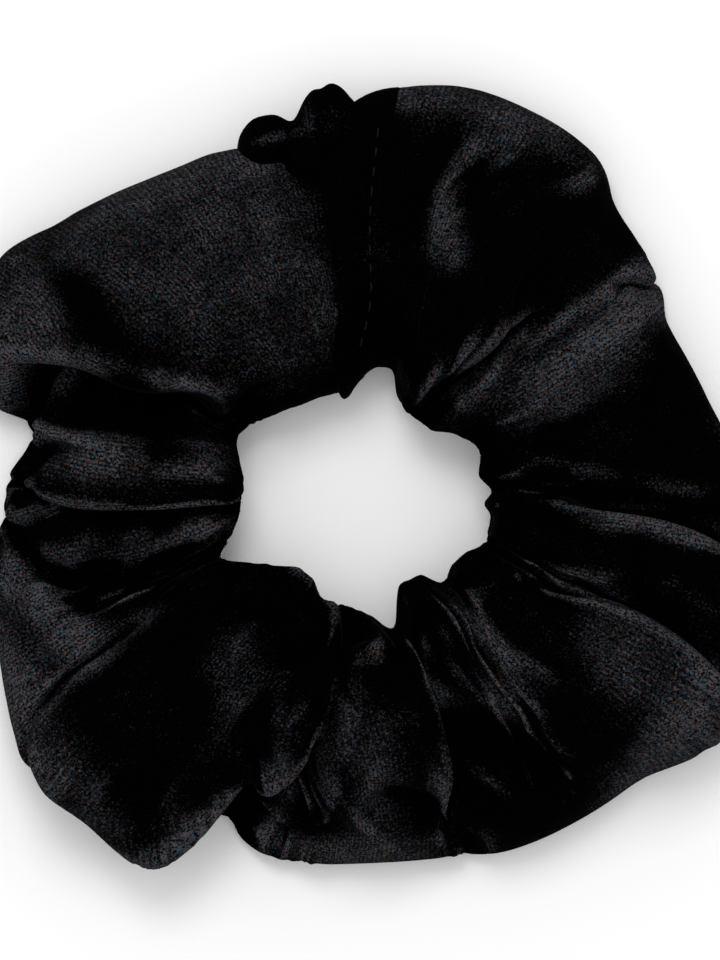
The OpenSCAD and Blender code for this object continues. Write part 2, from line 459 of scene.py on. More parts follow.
# The easing smooths the cloth over this many columns and rows
EASE_COLUMNS, EASE_ROWS = 16, 6
# Places where the real cloth lies full, and a stray dent is eased out: (angle, radius, spreads)
FULL = [(131, 34, 12, 7), (45, 44, 7, 8)]


def ease_dents(co):
    """Smooth the top of the cover over the given places only."""
    x, y = co[..., 0] - HOLE[0], co[..., 1] - HOLE[1]
    deg, radius = np.degrees(np.arctan2(y, x)) % 360, np.hypot(x, y)
    on_top = np.clip(1.6 * np.sin(section_angles(co.shape[1])), 0, 1)[None, :]
    even = blur(blur(co, EASE_COLUMNS, 0), EASE_ROWS, 1)
    for angle, at, spread_deg, spread_r in FULL:
        near = np.minimum(1, 1.5 * bell(arc(deg, angle) / spread_deg) * bell((radius - at) / spread_r))
        share = (near * on_top)[..., None]
        co = co * (1 - share) + even * share
    return co


# The turned-in edges stand up a little and then lie over to one side, one on the other: (across, up)
TURNED_IN = [(0.0, 0.7), (1.0, 1.2), (2.6, 1.3), (4.2, 1.3), (5.6, 1.3)]
SEAM_GAP = 0.15
UPPER_EDGE_RISE = 0.8


def strip_with_allowances(co):
    """Cut the tube open along its long seam and turn the raw edges inside."""
    tube = np.concatenate([co, co[:, :1]], 1)
    inward = np.zeros_like(co[:, 0])
    inward[:, 2] = 1
    across = co[:, 1] - co[:, -1]
    across /= np.linalg.norm(across, axis=1, keepdims=True) + 1e-9
    first, last = [], []
    for side, up in TURNED_IN:
        upper = up + UPPER_EDGE_RISE * smooth(np.array(side), 0, 1.5)
        first.append(co[:, 0] + across * (SEAM_GAP + side) + inward * up)
        last.append(co[:, 0] + across * (side - SEAM_GAP) + inward * upper)
    first = np.stack(first[::-1], 1)
    last = np.stack(last, 1)
    return np.concatenate([first, tube, last], 1)


def build_cover(co):
    """The cover as one open strip of cloth, with its place on the strip in the UV layer, in metres."""
    strip = strip_with_allowances(co)
    n, m = strip.shape[:2]
    quads = ring_quads(n, m, False)
    ob = new_mesh("velvet_cover", strip * MM, quads)
    layer = ob.data.uv_layers.new(name="cloth")
    corner = quads.ravel()
    u = (corner // m).astype(float)
    u = np.where((np.repeat(quads[:, 0] // m, 4) == n - 1) & (u == 0), n, u)
    uv = np.stack([u / n * STRIP_L * MM, (corner % m) / (m - 1) * STRIP_W * MM], -1)
    layer.data.foreach_set("uv", uv.ravel())
    return ob


# Patches of painted sheen, where the velvet is painted lighter as where light catches the pile: (angle,
# radius, spread in degrees, in mm, strength)
PAINTED_LIT_PATCHES = [
    # the big left puff
    (128, 44, 22, 16, 0.36), (112, 40, 12, 14, 0.18), (103, 30, 8, 12, 0.2), (120, 24, 14, 7, 0.1),
    (152, 57, 10, 9, 0.5), (158, 46, 5, 6, 0.2), (124, 57, 20, 4, 0.4), (107, 53, 6, 4, 0.4),
    # below the crease
    (31, 38, 6.5, 9, 0.6), (24, 34, 5, 8, 0.45), (35, 49, 4.5, 6, 0.75), (35, 54, 4, 3, 0.9),
    (40, 24, 8, 8, 0.3), (57, 20, 3, 3, 0.6), (50, 25, 1.6, 4, 0.7), (44.5, 32, 1.3, 4, 0.8),
    (41, 40, 1.2, 5, 0.9), (39.5, 49, 1.2, 6, 0.9),
    # right
    (-4.5, 40, 2.2, 5, 0.7), (-6.5, 50, 2.2, 6, 0.7), (16, 57, 8, 2.5, 0.3),
    # upper right
    (68, 62, 14, 3.5, 0.6), (66.5, 54, 2, 4, 0.5), (72.5, 43, 2.5, 5, 0.8), (68, 39, 2.5, 3, 0.5),
    (85, 61, 4, 3, 0.9),
    # lower right
    (328, 46, 7, 10, 0.42), (327, 61, 6, 4, 0.85), (317, 60, 8, 3.5, 0.75), (305, 37, 3, 4, 0.5),
    (312, 29, 3, 8, 0.55), (337, 38, 3, 7, 0.45),
    # bottom lobe
    (274, 44, 6.5, 11, 0.38), (268, 31, 4, 5, 0.25), (268, 55, 14, 2.5, 0.65), (285, 46, 1.8, 4, 0.5),
    # flap
    (231, 31, 8, 5, 0.22), (243, 37, 7, 5, 0.42), (254, 46, 3.5, 5, 0.9), (249, 52, 4, 2.5, 0.85),
    (242, 58, 3, 4, 0.5), (231, 64, 6, 4, 0.4),
    # left
    (207, 60, 9, 5, 0.8), (213, 63, 5, 5, 0.5), (194, 55, 3.5, 3, 0.95), (200, 51, 3.5, 3.5, 0.95),
    (206, 49, 3, 4, 0.95), (212, 47, 2.5, 4, 0.9), (210, 39, 2, 4, 0.5), (192, 24, 4, 4, 0.6),
    (173, 39, 5, 8, 0.6), (167, 24, 7, 4, 0.75), (166, 56, 4, 3, 0.4),
]
# Patches of painted shade, where the painted sheen is taken away and the velvet is left black, in the same
# form
PAINTED_SHADE_PATCHES = [
    (144, 53, 3.2, 6, 1), (148.5, 46, 3.6, 6, 1), (155, 38, 4.5, 6, 1), (163, 30, 8, 10, 0.7),
    (217, 44, 3, 14, 0.9), (50, 49, 6, 9, 0.9), (58, 50, 6, 7, 0.9), (57, 38, 8, 10, 0.9),
    (322, 30, 4, 7, 0.7), (192, 38, 4, 9, 0.8), (264, 23, 5, 5, 0.9), (3, 42, 3, 13, 0.85),
    (228, 50, 5, 7, 0.7), (182, 49, 5, 5, 0.5), (289, 42, 2.5, 10, 0.8), (83.5, 50, 4.5, 9, 0.95),
    (263, 36, 4, 12, 0.8), (238, 60, 4, 4, 0.6), (168, 31, 4, 4, 0.5), (203, 55, 2.5, 3, 0.6),
]
# The join of the strip's ends: the folded edge that shows, and the stitches across it
SEAM_DEG = 97.0
STITCH_DEG = 88.0
# The cloth is smoothed over this many columns and rows to find its ridges, and its wider valleys
RIDGE_BLUR, VALLEY_BLUR = (3, 1), (10, 4)
# Heights in millimetres over which the painted highlight on a ridge and the painted shade in a valley take
# full effect
RIDGE_HEIGHT, VALLEY_DEPTH = (0.12, 0.42), (0.25, 1.3)
# Strength of the painted highlight along the ridges of the folds
RIDGE_HIGHLIGHT = 0.8
# Share of the painted sheen taken away at the join
JOIN_SHEEN_OFF = 0.96
# Degrees over which the painted sheen is taken away at the join, leaving it black: this starts at the
# folded edge and ends past the stitches
JOIN_EDGE, JOIN_END = (-0.6, 0.6), (-6.0, 2.0)


def patches_at(deg, radius, table):
    """Summed strength of a table of soft patches at each point."""
    total = np.zeros_like(radius)
    for angle, at, spread_deg, spread_r, strength in table:
        total += strength * bell(arc(deg, angle) / spread_deg) * bell((radius - at) / spread_r)
    return total


def relief(co, normals, spread_u, spread_v):
    """How far each point stands above the cloth around it, in millimetres."""
    around = blur(blur(co, spread_u, 0), spread_v, 1)
    return ((co - around) * normals).sum(-1)


def add_painted_sheen(ob, columns, lit_table, shade_table):
    """Vertex attribute of painted sheen: how much lighter the velvet is painted, as where light catches
    the pile.

    It is a painted highlight over the ridges of the folds, and is taken away in the valleys as painted
    shade.
    """
    co = np.empty(len(ob.data.vertices) * 3)
    normals = np.empty(len(ob.data.vertices) * 3)
    ob.data.vertices.foreach_get("co", co)
    ob.data.vertices.foreach_get("normal", normals)
    co, normals = co.reshape(columns, -1, 3) / MM, normals.reshape(columns, -1, 3)
    # painted highlight on the ridges, and painted shade in the wider valleys
    ridge = smooth(relief(co, normals, *RIDGE_BLUR), *RIDGE_HEIGHT)
    valley = smooth(-relief(co, normals, *VALLEY_BLUR), *VALLEY_DEPTH)
    x, y = co[..., 0] - HOLE[0], co[..., 1] - HOLE[1]
    deg, radius = np.degrees(np.arctan2(y, x)) % 360, np.hypot(x, y)
    # painted sheen on the listed lit patches
    patches = np.clip(patches_at(deg, radius, lit_table), 0, 1)
    # past the folded edge of the join the painted sheen is taken away
    join = (1 - smooth(arc(deg, SEAM_DEG), *JOIN_EDGE)) * smooth(arc(deg, STITCH_DEG), *JOIN_END)
    # painted shade on the listed shaded patches
    shaded = np.clip(patches_at(deg, radius, shade_table), 0, 1)
    painted_sheen = (patches * (1 - valley) + RIDGE_HIGHLIGHT * ridge) * (1 - shaded) * (1 - JOIN_SHEEN_OFF * join)
    # painted sheen and shade, stored per point for the velvet's base colour
    layer = ob.data.attributes.new("painted_sheen", "FLOAT", "POINT")
    layer.data.foreach_set("value", np.clip(painted_sheen, 0, 1).astype(np.float32).ravel())


class Nodes:
    """Short names for building a material's node tree."""

    def __init__(self, name):
        self.mat = bpy.data.materials.new(name)
        self.mat.use_nodes = True
        self.tree = self.mat.node_tree
        self.shader = self.tree.nodes["Principled BSDF"]

    def put(self, node, key, value):
        if isinstance(value, bpy.types.NodeSocket):
            self.tree.links.new(value, node.inputs[key])
        else:
            node.inputs[key].default_value = value

    def math(self, kind, a, b=0.0, c=0.0, clamp=False):
        node = self.tree.nodes.new("ShaderNodeMath")
        node.operation = kind
        node.use_clamp = clamp
        for key, value in enumerate((a, b, c)):
            self.put(node, key, value)
        return node.outputs[0]

    def noise(self, vector, scale, detail=2.0, rough=0.5):
        node = self.tree.nodes.new("ShaderNodeTexNoise")
        self.put(node, "Vector", vector)
        self.put(node, "Scale", scale)
        self.put(node, "Detail", detail)
        self.put(node, "Roughness", rough)
        return node.outputs["Fac"]

    def span(self, value, low, high, to_low=0.0, to_high=1.0):
        node = self.tree.nodes.new("ShaderNodeMapRange")
        for key, item in zip(("Value", "From Min", "From Max", "To Min", "To Max"),
                             (value, low, high, to_low, to_high)):
            self.put(node, key, item)
        return node.outputs["Result"]

    def mix(self, factor, a, b):
        node = self.tree.nodes.new("ShaderNodeMix")
        node.data_type = "RGBA"
        self.put(node, 0, factor)
        self.put(node, 6, a)
        self.put(node, 7, b)
        return node.outputs[2]

    def bump(self, height, distance, strength):
        node = self.tree.nodes.new("ShaderNodeBump")
        self.put(node, "Height", height)
        self.put(node, "Distance", distance)
        self.put(node, "Strength", strength)
        return node.outputs["Normal"]

    def attribute(self, name):
        node = self.tree.nodes.new("ShaderNodeAttribute")
        node.attribute_name = name
        return node.outputs["Fac"]

    def position(self):
        return self.tree.nodes.new("ShaderNodeTexCoord").outputs["Object"]

    def uv(self, name):
        node = self.tree.nodes.new("ShaderNodeUVMap")
        node.uv_map = name
        split = self.tree.nodes.new("ShaderNodeSeparateXYZ")
        self.put(split, 0, node.outputs[0])
        return split.outputs[0], split.outputs[1]


RIB = 0.75 * MM
PILE_BUMP = 0.12 * MM
THREAD_BUMP = 0.05 * MM
PILE_DARK = (0.0002, 0.0002, 0.00022, 1)
# Colours of the painted sheen on the pile tips, a little cooler or warmer at random
PAINTED_SHEEN_COOL = (0.022, 0.044, 0.060, 1)
PAINTED_SHEEN_WARM = (0.062, 0.038, 0.034, 1)


def velvet():
    """Black knit-backed velvet: ribs of pile, a mottled painted sheen and painted shade from the vertex
    attribute, sheen at its edges.
    """
    n = Nodes("velvet")
    u, _ = n.uv("cloth")
    place = n.position()
    waver = n.noise(place, 260, 2)
    ribs = n.math("SINE", n.math("MULTIPLY_ADD", u, 2 * math.pi / RIB, n.math("MULTIPLY", waver, 5.0)))
    ribs = n.math("MULTIPLY_ADD", ribs, 0.5, 0.5)
    pile = n.noise(place, 2900, 2, 0.7)
    clumps = n.noise(place, 700, 3, 0.6)
    drift = n.noise(place, 130, 4, 0.6)
    # painted sheen and shade, laid on each point of the cloth
    painted_sheen = n.attribute("painted_sheen")
    # the painted sheen is broken up by noise into small tufts, so the edge of a painted patch is ragged
    ragged = n.math("MULTIPLY_ADD", n.span(drift, 0.3, 0.7, -0.5, 0.5), 0.18, painted_sheen)
    ragged = n.math("MULTIPLY_ADD", n.span(pile, 0.3, 0.7, -0.5, 0.5), 0.35, ragged)
    sheen_share = n.span(ragged, 0.15, 1.0)
    rib_share = n.span(drift, 0.4, 0.6, 0.4, 1.1)
    ribbed = n.math("MULTIPLY_ADD", ribs, rib_share, 0.6)
    grain = n.math("MULTIPLY", n.span(pile, 0.40, 0.66, 0.0, 2.6), ribbed)
    # painted sheen: the base colour is painted lighter where the attribute is high
    light = n.math("MULTIPLY", sheen_share, n.math("MULTIPLY", n.span(clumps, 0.3, 0.7, 0.6, 1.4), grain))
    light = n.math("MULTIPLY", light, 0.54, clamp=True)
    sheen_colour = n.mix(n.span(n.noise(place, 2300, 1), 0.35, 0.65), PAINTED_SHEEN_COOL, PAINTED_SHEEN_WARM)
    n.put(n.shader, "Base Color", n.mix(light, PILE_DARK, sheen_colour))
    height = n.math("MULTIPLY_ADD", pile, 0.7, n.math("MULTIPLY", clumps, 0.8))
    height = n.math("MULTIPLY_ADD", ribs, 0.5, height)
    n.put(n.shader, "Normal", n.bump(height, PILE_BUMP, 0.8))
    n.put(n.shader, "Roughness", n.span(clumps, 0.3, 0.7, 0.8, 1.0))
    n.put(n.shader, "Specular IOR Level", 0.004)
    n.put(n.shader, "Sheen Weight", 0.015)
    n.put(n.shader, "Sheen Roughness", 0.12)
    n.put(n.shader, "Sheen Tint", (0.92, 0.94, 1.0, 1))
    return n.mat


THREAD_DARK = (0.0008, 0.0008, 0.0008, 1)
THREAD_LIGHT = (0.006, 0.006, 0.0065, 1)


def thread_material():
    """Black polyester thread: twisted plies with a soft gloss."""
    n = Nodes("thread")
    place = n.position()
    plies = n.noise(place, 5200, 2, 0.5)
    n.put(n.shader, "Base Color", n.mix(plies, THREAD_DARK, THREAD_LIGHT))
    n.put(n.shader, "Normal", n.bump(plies, THREAD_BUMP, 0.8))
    n.put(n.shader, "Roughness", n.span(plies, 0.3, 0.7, 0.4, 0.6))
    n.put(n.shader, "Specular IOR Level", 0.04)
    return n.mat


ELASTIC_DARK = (0.003, 0.003, 0.003, 1)
ELASTIC_LIGHT = (0.022, 0.022, 0.023, 1)
ELASTIC_WEFT, ELASTIC_WARP = 0.8 * MM, 0.78 * MM
ELASTIC_BUMP = 0.12 * MM


def elastic_material():
    """Black knitted elastic: ribs along it, rubber threads across, a dull sheen."""
    n = Nodes("elastic")
    u, v = n.uv("cloth")
    weft = n.math("SINE", n.math("MULTIPLY", u, 2 * math.pi / ELASTIC_WEFT))
    warp = n.math("SINE", n.math("MULTIPLY", v, 2 * math.pi / ELASTIC_WARP))
    weave = n.math("MULTIPLY_ADD", n.math("MULTIPLY", weft, warp), 0.5, 0.5)
    worn = n.noise(n.position(), 900, 3, 0.6)
    tone = n.math("MULTIPLY", weave, n.span(worn, 0.3, 0.7, 0.6, 1.4), clamp=True)
    n.put(n.shader, "Base Color", n.mix(tone, ELASTIC_DARK, ELASTIC_LIGHT))
    n.put(n.shader, "Normal", n.bump(weave, ELASTIC_BUMP, 0.9))
    n.put(n.shader, "Roughness", n.span(worn, 0.3, 0.7, 0.6, 0.8))
    n.put(n.shader, "Specular IOR Level", 0.25)
    return n.mat


# ---------------------------------------------------------------- the other pieces
def grid_normals(co):
    """Outward unit normals of the tube."""
    along = np.roll(co, -1, 0) - np.roll(co, 1, 0)
    across = np.roll(co, -1, 1) - np.roll(co, 1, 1)
    normal = np.cross(across, along)
    normal /= np.linalg.norm(normal, axis=-1, keepdims=True) + 1e-9
    outward = ((co - co.mean(1, keepdims=True)) * normal).sum()
    return normal if outward > 0 else -normal


def row_at(phi_deg):
    """The row of the fine tube at a section angle: 90 on top, 180 beside the opening."""
    return round((SEAM_PHI / DEG - phi_deg) / 360 * FINE_ROWS) % FINE_ROWS


def angle_of(points):
    """Ring angle of each point, in degrees."""
    return np.degrees(np.arctan2(points[..., 1] - HOLE[1], points[..., 0] - HOLE[0])) % 360


def open_grid(name, points, closed_rows, columns_u, rows_v):
    """A mesh of columns by rows, with the cloth's own place in its UV layer, in metres."""
    n, m = points.shape[:2]
    i, j = np.arange(n - 1)[:, None], np.arange(m if closed_rows else m - 1)[None, :]
    up = (j + 1) % m
    quads = np.stack([i * m + j, i * m + up, (i + 1) * m + up, (i + 1) * m + j], -1).reshape(-1, 4)
    ob = new_mesh(name, points * MM, quads)
    layer = ob.data.uv_layers.new(name="cloth")
    corner = quads.ravel()
    uv = np.stack([columns_u[corner // m], rows_v[corner % m]], -1) * MM
    layer.data.foreach_set("uv", uv.ravel())
    return ob


# On the hem the painted sheen is taken away all over, as painted shade
HEM_PAINTED_SHADE = [(SEAM_DEG, 44, 30, 60, 1)]
HEM_END = 85.0
HEM_THICK = 1.0
# Section of the folded edge, in millimetres: (back past the edge, up)
HEM_FOLD = [(0.0, -0.2), (0.25, 0.25), (0.35, 0.6), (0.2, 0.9)]
HEM_LIFT = 0.12
HEM_SUNK = 0.3


def build_hem(co):
    """The end of the strip that laps over the other end: a folded edge, fading into the cover."""
    normal = grid_normals(co)
    deg = angle_of(co[:, row_at(90)])
    inside = np.nonzero((arc(deg, SEAM_DEG) <= 0) & (arc(deg, HEM_END) >= 0))[0]
    inside = inside[np.argsort(-deg[inside])]
    # thinner underneath, where the cover lies on the floor
    share = (0.15 + 0.85 * smooth(np.sin(section_angles(FINE_ROWS)), -0.8, -0.2))[:, None]
    first = inside[0]
    back = co[first] - co[first + 1 if first + 1 in inside else first - 1]
    back /= np.linalg.norm(back, axis=-1, keepdims=True) + 1e-9
    columns = [co[first] + back * out + normal[first] * up * HEM_THICK * share for out, up in HEM_FOLD]
    for place, column in enumerate(inside):
        fade = 1 - smooth(np.array(place / (len(inside) - 1)), 0.1, 1.0)
        rise = HEM_THICK * fade * share + HEM_LIFT - HEM_SUNK * (fade == 0)
        columns.append(co[column] + normal[column] * rise)
    points = np.stack(columns)
    points[..., 2] = np.maximum(points[..., 2], 0.1)
    u = np.arange(len(points)) * STRIP_L / FINE_COLUMNS
    return open_grid("closing_hem", points, True, u, np.arange(FINE_ROWS + 1) * STRIP_W / FINE_ROWS)


# Outline of the two gathered pleats at the join, from the middle of the opening: (angle, millimetres)
TUCK = [(84, 52), (87.5, 58), (90, 61), (94, 63), (96.5, 62.4), (99, 60), (102, 59.4), (106, 59.6),
        (109, 57.5), (112, 50)]
TUCK_COLUMNS, TUCK_ROWS = 110, 48
# Radius where the pleats come out of the cover, and the heights they come out at and end at
TUCK_START = 44.0
TUCK_TOP, TUCK_BOTTOM = 13.5, 1.5
TUCK_BULGE = 2.5
# At both ends they sink into the cover, by this much and over this many degrees
TUCK_SUNK, TUCK_SUNK_DEG = 4.0, 2.5
# The creases between the pleats: (angle at the rim, lean in degrees, depth and width in mm)
TUCK_CREASES = [(100.3, 7, 1.9, 1.6), (90.5, 5, 1.6, 1.6), (95.5, -3, 0.5, 0.9)]
TUCK_RADIUS = 57
# Where their painted sheen is laid on, and where it is taken away as painted shade, as on the cover
TUCK_PAINTED_LIT = [(96, 57, 3, 4, 0.3), (103.5, 55.8, 3.5, 0.8, 0.6)]
TUCK_PAINTED_SHADE = [(84, 48, 3, 9, 1), (112, 48, 3, 9, 1), (98, 46, 14, 5, 1)]
# Cloth between two columns and two rows of the pleats
TUCK_CLOTH = (0.3, 0.8)


def build_tuck():
    """Two rounded pleats of cloth that stand out at the rim, where the ends are gathered and tucked."""
    deg = np.linspace(TUCK[0][0], TUCK[-1][0], TUCK_COLUMNS)[:, None]
    t = np.linspace(0, 1, TUCK_ROWS)[None, :]
    reach = np.interp(deg, *np.array(TUCK).T)
    reach = blur(np.pad(reach, ((9, 9), (0, 0)), mode="edge"), 3, 0)[9:-9]
    belly = np.sin(math.pi * t) ** 0.55
    radius = TUCK_START + (reach - TUCK_START) * belly
    height = TUCK_TOP + (TUCK_BOTTOM - TUCK_TOP) * smooth(t, 0, 1)
    ends = bell(arc(deg, TUCK[0][0]) / TUCK_SUNK_DEG) + bell(arc(deg, TUCK[-1][0]) / TUCK_SUNK_DEG)
    height = height + TUCK_BULGE * belly * (1 - t) - TUCK_SUNK * ends * (1 - t)
    turned = deg + np.zeros_like(t)
    for angle, lean, depth, width in TUCK_CREASES:
        across = arc(turned, angle + lean * (1 - belly)) * DEG * TUCK_RADIUS / width
        radius = radius - depth * bell(across) * (0.3 + 0.7 * belly)
        height = height - depth * bell(across) * np.clip(1 - 1.6 * t, 0, 1)
    points = ring_points(radius, turned * DEG, height)
    u, v = np.arange(TUCK_COLUMNS) * TUCK_CLOTH[0], np.arange(TUCK_ROWS) * TUCK_CLOTH[1]
    return open_grid("closing_tuck_pleats", points, False, u, v)


THREAD_SIDES = 6
THREAD_TAPER = 0.45
THREAD_THICK, ZIGZAG_THICK = 0.3, 0.32


def tube_mesh(name, paths, thickness):
    """Round threads along lists of points, closed at both ends."""
    points, faces = [], []
    sides = THREAD_SIDES
    turn = np.arange(sides) / sides * 2 * math.pi
    for path in paths:
        path = np.asarray(path)
        tangent = np.gradient(path, axis=0)
        tangent /= np.linalg.norm(tangent, axis=1, keepdims=True) + 1e-9
        side = np.cross(tangent, (0.21, 0.13, 0.97))
        side /= np.linalg.norm(side, axis=1, keepdims=True) + 1e-9
        up = np.cross(side, tangent)
        base, count = len(points), len(path)
        ring = side[:, None] * np.cos(turn)[None, :, None] + up[:, None] * np.sin(turn)[None, :, None]
        taper = np.ones(count)
        taper[[0, -1]] = THREAD_TAPER
        rings = path[:, None] + ring * thickness / 2 * taper[:, None, None]
        points.extend(rings.reshape(-1, 3))
        for i in range(count - 1):
            for k in range(sides):
                nxt = (k + 1) % sides
                low, high = base + i * sides, base + (i + 1) * sides
                faces.append((low + k, low + nxt, high + nxt, high + k))
        faces.append(tuple(base + k for k in reversed(range(sides))))
        faces.append(tuple(base + (count - 1) * sides + k for k in range(sides)))
    return new_mesh(name, np.array(points) * MM, faces)


# Height of a stitch above the cloth along its length, in millimetres
STITCH_RISE = [-0.35, 0.1, 0.26, 0.3, 0.26, 0.1, -0.35]


def running_stitches(path, normal, length, gap):
    """Stitches along a path of points: each comes out of the cloth, lies on it and goes back in."""
    step = np.linalg.norm(np.diff(path, axis=0), axis=1)
    at = np.concatenate([[0], np.cumsum(step)])
    stitches = []
    for start in np.arange(gap, at[-1] - length, length + gap):
        where = np.linspace(start, start + length, len(STITCH_RISE))
        on = np.stack([np.interp(where, at, path[:, k]) for k in range(3)], -1)
        out = np.stack([np.interp(where, at, normal[:, k]) for k in range(3)], -1)
        stitches.append(on + out * np.array(STITCH_RISE)[:, None])
    return stitches


# Length and gap of the stitches in millimetres, and the section angles the closing line runs between
CLOSING_STITCH, LONG_STITCH = (1.8, 1.2), (1.9, 0.9)
CLOSING_FROM, CLOSING_TO = 150, 40


def build_closing_stitches(co, hem):
    """The line of stitches that closes the join, across the top of the cover."""
    hem_co = np.empty(len(hem.data.vertices) * 3)
    hem.data.vertices.foreach_get("co", hem_co)
    hem_co = hem_co.reshape(-1, FINE_ROWS, 3) / MM
    rows = np.arange(row_at(CLOSING_FROM), row_at(CLOSING_TO))
    middle = angle_of(hem_co[:, row_at(90)])
    column = np.argmin(np.abs(arc(middle, STITCH_DEG)))
    deg = angle_of(co[:, row_at(90)])
    under = np.argmin(np.abs(arc(deg, STITCH_DEG)))
    path, normal = hem_co[column, rows], grid_normals(co)[under, rows]
    stitches = running_stitches(path, normal, *CLOSING_STITCH)
    return tube_mesh("closing_seam_stitches", stitches, THREAD_THICK)


# The elastic: thickness, how far it stays behind the edge of the opening, and its sewn lap
BAND_THICK = 1.2
BAND_GAP = 4.8
BAND_LAP_DEG = 180.0
BAND_LAP = 12.0
LAP_GAP = 0.2
BAND_COLUMNS = 720
BAND_RIBS = 9
RIB_HEIGHT = 0.12
# Small waves in its faces: their height in millimetres, and radians of wave in each degree of the ring
BAND_WAVE, BAND_WAVE_TURN = 0.05, 6
# It stays clear of the cover above and below, as far to its sides as this, but keeps some width
BAND_REACH, BAND_CLEAR = 1.4, 0.9
BAND_LEAST = 1.4
ELASTIC_RADIUS = (ELASTIC_HIGH[0] - ELASTIC_LOW[0]) / 2 - BAND_THICK
NO_LIMIT = 30.0


def band_limit(co, rows, sign, deg, inner):
    """Height the elastic may reach on one side of the cover; sign is 1 for the top, -1 for below."""
    side = co[:, rows]
    radius = np.hypot(side[..., 0] - HOLE[0], side[..., 1] - HOLE[1])
    bins = angle_of(side).astype(int) % 360
    near = np.abs(radius - np.interp(bins + 0.5, deg, inner + BAND_THICK / 2, period=360)) < BAND_REACH
    lid = np.full(360, NO_LIMIT)
    np.minimum.at(lid, bins[near], sign * side[..., 2][near])
    lid = np.min([np.roll(lid, k) for k in (-1, 0, 1)], 0)
    lid = blur(lid, 2, 0) - BAND_CLEAR
    return sign * np.interp(deg % 360, np.arange(360) + 0.5, lid, period=360)


def band_edges(co, deg, inner):
    """The elastic's lower and upper edges: its own width, or less where folds of the cover press on it."""
    width = ELASTIC_HIGH[2] - ELASTIC_LOW[2]
    over = np.arange(row_at(170), row_at(20))
    under = np.arange(row_at(340) - FINE_ROWS, row_at(190))
    top = band_limit(co, over, 1, deg, inner)
    bottom = band_limit(co, under, -1, deg, inner)
    high = np.minimum(top, ELASTIC_HIGH[2])
    low = np.maximum(bottom, high - width)
    pinched = np.maximum(BAND_LEAST - (high - low), 0) / 2
    return low - pinched, high + pinched


def build_elastic(co):
    """The knitted elastic inside the cover: a flat ribbed band whose ends are lapped and sewn."""
    lap = BAND_LAP / ELASTIC_RADIUS / DEG
    deg = BAND_LAP_DEG + np.linspace(-lap / 2, 360 + lap / 2, BAND_COLUMNS)
    inner = np.maximum(ELASTIC_RADIUS - BAND_THICK / 2, edge(deg) + BAND_GAP)
    inner = np.interp(deg, deg, blur(np.pad(inner, 60, mode="wrap"), 8, 0)[60:-60])
    over = smooth(deg, BAND_LAP_DEG + 360 - lap, BAND_LAP_DEG + 360 - lap / 2)
    inner = inner + over * (BAND_THICK + LAP_GAP)
    low, high = (limit[:, None] for limit in band_edges(co, deg, inner))
    across = np.linspace(0, 1, 4 * BAND_RIBS + 1)
    rib = RIB_HEIGHT * np.cos(across * 2 * math.pi * BAND_RIBS)
    corner = np.clip(np.minimum(across, 1 - across) / 0.06, 0, 1) ** 0.5
    inside, outside = low + (high - low) * across, high - (high - low) * across
    z = np.concatenate([inside, outside[:, 1:-1]], 1)
    half = BAND_THICK / 2 * (0.35 + 0.65 * corner)
    face = np.concatenate([-(half - rib), (half - rib)[::-1][1:-1]])
    waves = BAND_WAVE * np.cos(deg[:, None] * BAND_WAVE_TURN) * np.sign(face)[None, :]
    radius = inner[:, None] + BAND_THICK / 2 + face[None, :] + waves
    points = ring_points(radius, deg[:, None] * DEG, z)
    m = z.shape[1]
    u, v = deg * DEG * ELASTIC_RADIUS, np.append(z[0], z[0, 0])
    ob = open_grid("elastic_knitted_band", points, True, u, v)
    mesh = ob.data
    ends = bmesh.new()
    ends.from_mesh(mesh)
    ends.verts.ensure_lookup_table()
    for start in (0, (BAND_COLUMNS - 1) * m):
        ends.faces.new([ends.verts[start + k] for k in range(m)])
    bmesh.ops.recalc_face_normals(ends, faces=ends.faces)
    ends.to_mesh(mesh)
    ends.free()
    return ob, deg, inner, low[:, 0], high[:, 0]


# The zigzag rows: distance from the middle of the lap, turns, points a turn, half width, margin
ZIGZAG_ROWS = (-3.2, 3.2)
ZIGZAG_TURNS, ZIGZAG_POINTS = 7, 6
ZIGZAG_HALF, ZIGZAG_MARGIN = 1.1, 0.7
ZIGZAG_PROUD = 0.15


def build_elastic_stitches(deg, inner, low, high):
    """Two zigzag rows that hold the lapped ends of the elastic together."""
    paths = []
    t = np.linspace(0, 1, ZIGZAG_TURNS * ZIGZAG_POINTS + 1)
    zig = ZIGZAG_HALF * (2 * np.abs((t * ZIGZAG_TURNS) % 1 - 0.5) * 2 - 1)
    for offset in ZIGZAG_ROWS:
        middle = BAND_LAP_DEG + offset / ELASTIC_RADIUS / DEG
        angle = middle + 360 + zig / ELASTIC_RADIUS / DEG
        radius = np.interp(angle, deg, inner) + BAND_THICK + ZIGZAG_PROUD
        z = np.interp(angle, deg, low) * (1 - t) + np.interp(angle, deg, high) * t
        z = z + ZIGZAG_MARGIN * (1 - 2 * t)
        paths.append(ring_points(radius, angle * DEG, z))
    return tube_mesh("elastic_zigzag_stitches", paths, ZIGZAG_THICK)


def build_long_seam(co):
    """Running stitches through both turned-in edges, all the way round inside the cover."""
    strip = strip_with_allowances(co)
    path = strip[:, -3]
    normal = np.broadcast_to((0, 0, 1.0), path.shape)
    stitches = running_stitches(path, normal, *LONG_STITCH)
    return tube_mesh("long_seam_stitches", stitches, THREAD_THICK)


# ---------------------------------------------------------------- the model
shape = fit_outline(drape(folded_shape()), bin_deg=1.0, blur_bins=3, limit=6)
shape[..., 2] -= shape[..., 2].min()  # the cloth rests on the floor
shape = refine(refine(shape, FINE_COLUMNS, 0), FINE_ROWS, 1)
shape = fit_outline(calm_opening(ease_dents(shape), 5), bin_deg=0.5, blur_bins=2, limit=2)

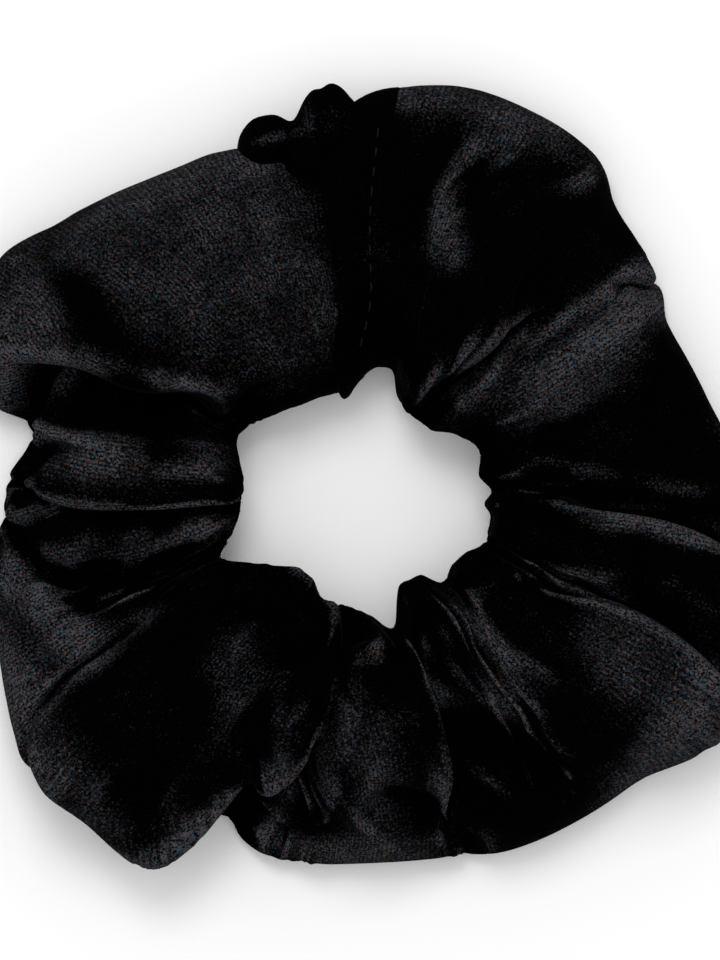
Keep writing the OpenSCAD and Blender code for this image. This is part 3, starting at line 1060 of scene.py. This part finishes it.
pile = velvet()
thread = thread_material()
cover = build_cover(shape)
hem = build_hem(shape)
tuck = build_tuck()
add_painted_sheen(cover, FINE_COLUMNS, PAINTED_LIT_PATCHES, PAINTED_SHADE_PATCHES)
add_painted_sheen(hem, len(hem.data.vertices) // FINE_ROWS, (), HEM_PAINTED_SHADE)
add_painted_sheen(tuck, TUCK_COLUMNS, TUCK_PAINTED_LIT, TUCK_PAINTED_SHADE)
for ob in (cover, hem, tuck):
    ob.data.materials.append(pile)
closing_stitches = build_closing_stitches(shape, hem)
elastic, *elastic_places = build_elastic(shape)
elastic_stitches = build_elastic_stitches(*elastic_places)
long_seam = build_long_seam(shape)
elastic.data.materials.append(elastic_material())
for ob in (closing_stitches, elastic_stitches, long_seam):
    ob.data.materials.append(thread)

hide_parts(*[n for n in frame["nodes"] if n.startswith("cover_puff")], "tucked_end",
            "seam_allowance_left", "seam_allowance_right")
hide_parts("closing_tuck")
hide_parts("closing_seam_thread")
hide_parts("elastic_band")
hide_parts("elastic_stitches")
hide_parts("long_seam_thread_left", "long_seam_thread_right")
for ob, slot in ((cover, "velvet"), (hem, "velvet"), (tuck, "velvet"), (elastic, "elastic"),
                 (closing_stitches, "thread"), (elastic_stitches, "thread"), (long_seam, "thread")):
    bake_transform(ob)

# ---------------------------------------------------------------- stage
FRAME_W = 110.2 * MM
CAM_HEIGHT = 1.6
CAM_Y = -0.3 * MM
SENSOR_W = 36
FLOOR_HALF = 2.0
FLOOR_TONE = (0.7, 0.7, 0.7, 1)
WORLD_STRENGTH = 1.05


def area(name, loc, size, power):
    """A square lamp aimed at the middle of the floor."""
    light = bpy.data.lights.new(name, "AREA")
    light.size = size
    light.energy = power
    ob = bpy.data.objects.new(name, light)
    ob.location = loc
    ob.rotation_euler = (-Vector(loc)).to_track_quat("-Z", "Y").to_euler()
    scene.collection.objects.link(ob)


cam_data = bpy.data.cameras.new("camera")
cam_data.sensor_fit = "HORIZONTAL"
cam_data.sensor_width = SENSOR_W
cam_data.lens = SENSOR_W * CAM_HEIGHT / FRAME_W
cam = bpy.data.objects.new("camera", cam_data)
cam.location = (0, CAM_Y, CAM_HEIGHT)
scene.collection.objects.link(cam)
scene.camera = cam

floor = square("floor", FLOOR_HALF)
floor_material = bpy.data.materials.new("floor")
floor_material.use_nodes = True
floor_shader = floor_material.node_tree.nodes["Principled BSDF"]
floor_shader.inputs["Base Color"].default_value = FLOOR_TONE
floor.data.materials.append(floor_material)

area("key", (-0.1, 0.6, 1.0), 0.5, 6)
area("fill", (0, -0.1, 1.4), 1.2, 2)
world = bpy.data.worlds.new("world")
world.use_nodes = True
background = world.node_tree.nodes["Background"]
background.inputs["Color"].default_value = (1, 1, 1, 1)
background.inputs["Strength"].default_value = WORLD_STRENGTH
scene.world = world
scene.view_settings.view_transform = "Standard"
